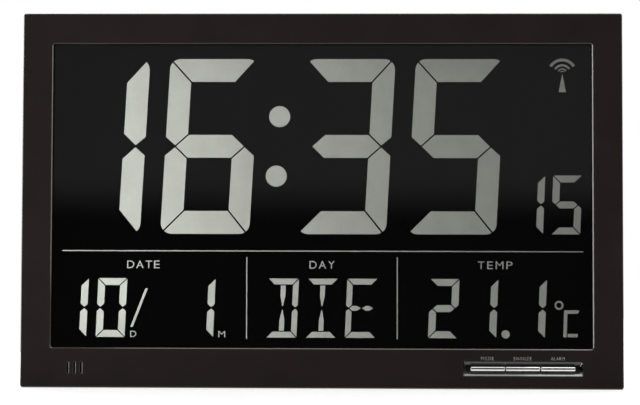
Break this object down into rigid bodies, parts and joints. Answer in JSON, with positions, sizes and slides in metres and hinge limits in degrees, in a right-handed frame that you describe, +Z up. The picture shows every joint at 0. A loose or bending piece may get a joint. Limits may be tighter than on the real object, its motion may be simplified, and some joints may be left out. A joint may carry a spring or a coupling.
{
  "type": "radio-controlled clock",
  "caption": "Wide flat digital wall and table clock: framed display with time, date, weekday and temperature, bar keys, battery bay, keyholes and a fold-out stand.",
  "frame": {"origin": "middle of the base on the surface that the clock stands on", "axes": "+X to the viewer's right, +Y from the display towards the back, +Z up"},
  "size_m": [0.36, 0.03, 0.2247],
  "materials": {
    "case_plastic": "fine matt moulded ABS, brown-black",
    "clear_acrylic": "polished clear acrylic",
    "display_glass": "dark display glass with polariser",
    "display_figure": "pale satin reflecting figures",
    "reflector_film": "satin metal film",
    "foam": "black closed-cell foam",
    "panel_gloss": "gloss black insert",
    "key_chrome": "chrome-plated plastic",
    "switch_plastic": "black moulded switch",
    "holder_plastic": "off-white moulded plate",
    "board_laminate": "green glass-fibre laminate",
    "chip_resin": "black moulding resin",
    "metal_can": "plain metal can",
    "ferrite": "dark grey ferrite",
    "copper_winding": "enamelled copper wire",
    "buzzer_plastic": "black moulded housing",
    "sensor_resin": "dipped resin bead",
    "elastomer": "grey layered elastomer",
    "contact_plating": "nickel-plated spring strip",
    "cell_can": "plain sleeved battery can",
    "lead_red": "red insulation",
    "lead_black": "black insulation",
    "lead_grey": "grey insulation",
    "screw_steel": "zinc-plated steel"
  },
  "bodies": {
    "case": {"front_frame": "case_plastic", "rear_case": "case_plastic", "display_window": "clear_acrylic", "display_gasket": "foam", "lcd_front_glass": "display_glass", "lcd_rear_glass": "display_glass", "lcd_reflector": "reflector_film", "lcd_time": "display_figure", "lcd_seconds": "display_figure", "lcd_date": "display_figure", "lcd_weekday": "display_figure", "lcd_temperature": "display_figure", "lcd_dividers": "display_figure", "lcd_radio_sign": "display_figure", "lcd_holder": "holder_plastic", "contact_strip": "elastomer", "main_board": "board_laminate", "controller_chip": "chip_resin", "timing_crystal": "metal_can", "supply_capacitor": "metal_can", "receiver_header": "switch_plastic", "receiver_board": "board_laminate", "antenna_rod": "ferrite", "antenna_coil": "copper_winding", "antenna_leads": "copper_winding", "alarm_buzzer": "buzzer_plastic", "buzzer_leads": "lead_black", "temperature_sensor": "sensor_resin", "sensor_lead": "lead_grey", "key_panel": "panel_gloss", "key_switches": "metal_can", "key_board": "board_laminate", "key_ribbon": "lead_grey", "battery_cell_upper": "cell_can", "battery_cell_lower": "cell_can", "bridge_contact": "contact_plating", "positive_contact": "contact_plating", "negative_contact": "contact_plating", "battery_lead_positive": "lead_red", "battery_lead_negative": "lead_black", "case_screws": "screw_steel", "holder_screws": "screw_steel", "board_screws": "screw_steel"},
    "mode_button": {"mode_key": "key_chrome", "mode_plunger": "switch_plastic"},
    "snooze_button": {"snooze_key": "key_chrome", "snooze_plunger": "switch_plastic"},
    "alarm_button": {"alarm_key": "key_chrome", "alarm_plunger": "switch_plastic"},
    "door": {"battery_door": "case_plastic"},
    "stand": {"table_stand": "case_plastic"}
  },
  "joints": [
    {"name": "mode_press", "type": "slide", "parent": "case", "child": "mode_button", "axis": [0, 1, 0], "range_m": [0, 0.0006], "stiffness_N_per_m": 800, "springref_m": -0.0005},
    {"name": "snooze_press", "type": "slide", "parent": "case", "child": "snooze_button", "axis": [0, 1, 0], "range_m": [0, 0.0006], "stiffness_N_per_m": 800, "springref_m": -0.0005},
    {"name": "alarm_press", "type": "slide", "parent": "case", "child": "alarm_button", "axis": [0, 1, 0], "range_m": [0, 0.0006], "stiffness_N_per_m": 800, "springref_m": -0.0005},
    {"name": "door_hinge", "type": "hinge", "parent": "case", "child": "door", "pos_m": [0, 0.015, 0.1322], "axis": [-1, 0, 0], "range_deg": [0, 75]},
    {"name": "stand_hinge", "type": "hinge", "parent": "case", "child": "stand", "pos_m": [0, 0.0122, 0.1177], "axis": [1, 0, 0], "range_deg": [0, 24]}
  ]
}
